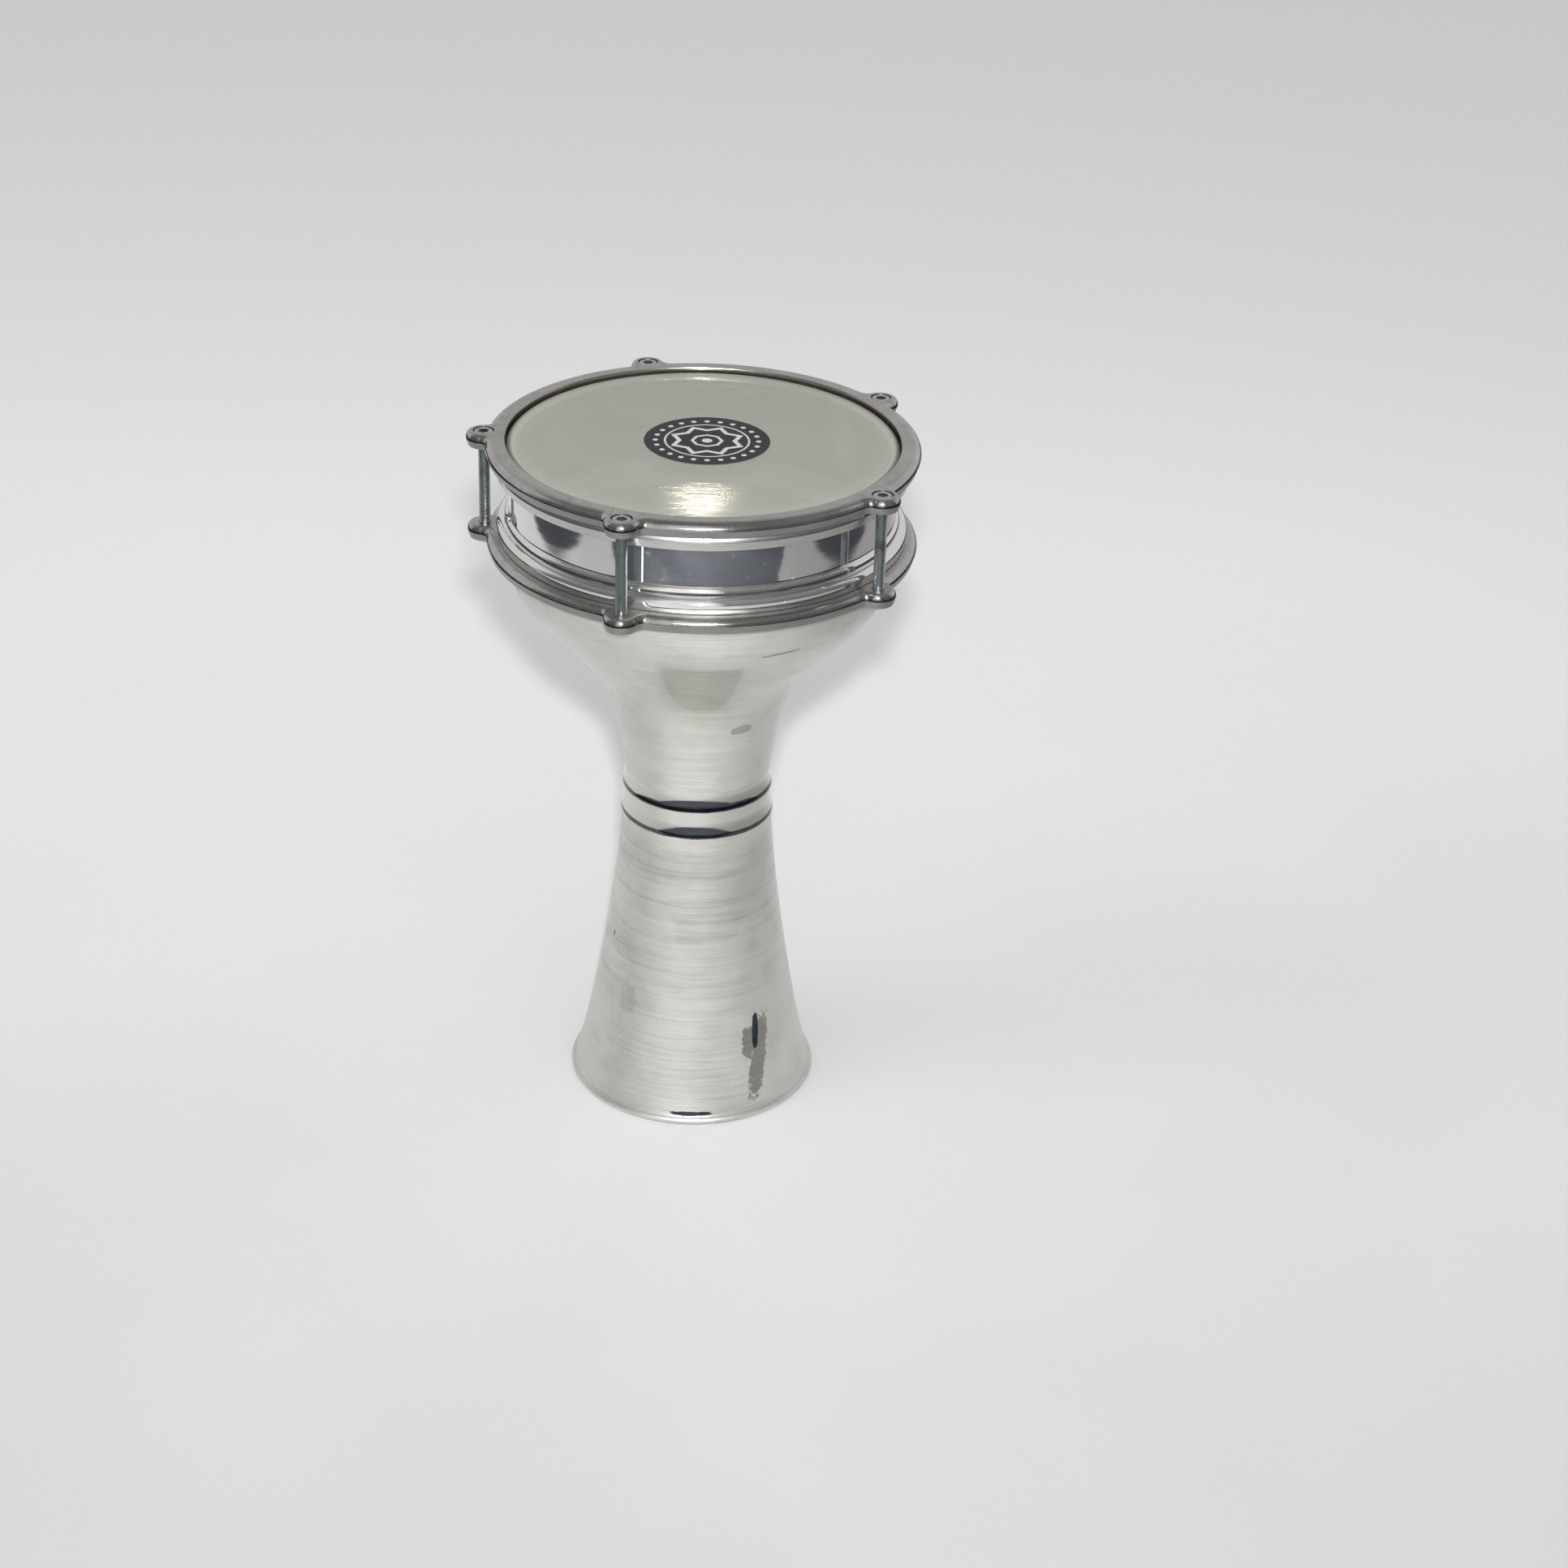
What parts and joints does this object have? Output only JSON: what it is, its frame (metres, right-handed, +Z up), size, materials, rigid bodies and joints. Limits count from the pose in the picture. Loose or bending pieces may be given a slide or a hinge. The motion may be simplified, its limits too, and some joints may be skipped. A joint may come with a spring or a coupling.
{
  "type": "goblet drum",
  "caption": "Goblet-shaped hand drum with a turned metal shell and a head drawn down by tension screws between a cast top hoop and a cast lower ring.",
  "frame": {"origin": "middle of the foot's rim, on the ground that the drum stands on", "axes": "+Z up along the axis that the drum is turned about; the first tension screw lies at -X"},
  "size_m": [0.2359, 0.235, 0.381],
  "materials": {
    "polished_shell": "turned and polished, fine lines round the axis, smudged by hands",
    "cast_hoops": "cast, satin on the flat faces and polished on the rounded edges",
    "rolled_channel": "roll-formed, semi-bright",
    "head_film": "translucent grey-green synthetic film with a satin surface and a printed disc in the middle",
    "bonding_resin": "poured amber resin",
    "zinc_plating": "bright zinc plate, slightly blue"
  },
  "bodies": {
    "drum": {"shell": "polished_shell", "lower_ring": "cast_hoops", "flesh_hoop": "rolled_channel", "head_film": "head_film", "head_resin": "bonding_resin"},
    "hoop": {"top_hoop": "cast_hoops"},
    "screw_1": {"tension_screw_1": "zinc_plating"},
    "screw_2": {"tension_screw_2": "zinc_plating"},
    "screw_3": {"tension_screw_3": "zinc_plating"},
    "screw_4": {"tension_screw_4": "zinc_plating"},
    "screw_5": {"tension_screw_5": "zinc_plating"}
  },
  "joints": [
    {"name": "hoop_travel", "type": "slide", "parent": "drum", "child": "hoop", "axis": [0, 0, 1], "range_m": [0, 0.006]},
    {"name": "screw_1_turn", "type": "hinge", "parent": "hoop", "child": "screw_1", "pos_m": [-0.1138, 0, 0.377], "axis": [0, 0, 1], "range_deg": [0, 2161]},
    {"name": "screw_2_turn", "type": "hinge", "parent": "hoop", "child": "screw_2", "pos_m": [-0.03517, -0.10823, 0.377], "axis": [0, 0, 1], "range_deg": [0, 2161]},
    {"name": "screw_3_turn", "type": "hinge", "parent": "hoop", "child": "screw_3", "pos_m": [0.09207, -0.06689, 0.377], "axis": [0, 0, 1], "range_deg": [0, 2161]},
    {"name": "screw_4_turn", "type": "hinge", "parent": "hoop", "child": "screw_4", "pos_m": [0.09207, 0.06689, 0.377], "axis": [0, 0, 1], "range_deg": [0, 2161]},
    {"name": "screw_5_turn", "type": "hinge", "parent": "hoop", "child": "screw_5", "pos_m": [-0.03517, 0.10823, 0.377], "axis": [0, 0, 1], "range_deg": [0, 2161]}
  ],
  "couplings": [
    {"joint": "screw_1_turn", "follows": "hoop_travel", "rad_per_m": 6283.2},
    {"joint": "screw_2_turn", "follows": "hoop_travel", "rad_per_m": 6283.2},
    {"joint": "screw_3_turn", "follows": "hoop_travel", "rad_per_m": 6283.2},
    {"joint": "screw_4_turn", "follows": "hoop_travel", "rad_per_m": 6283.2},
    {"joint": "screw_5_turn", "follows": "hoop_travel", "rad_per_m": 6283.2}
  ]
}
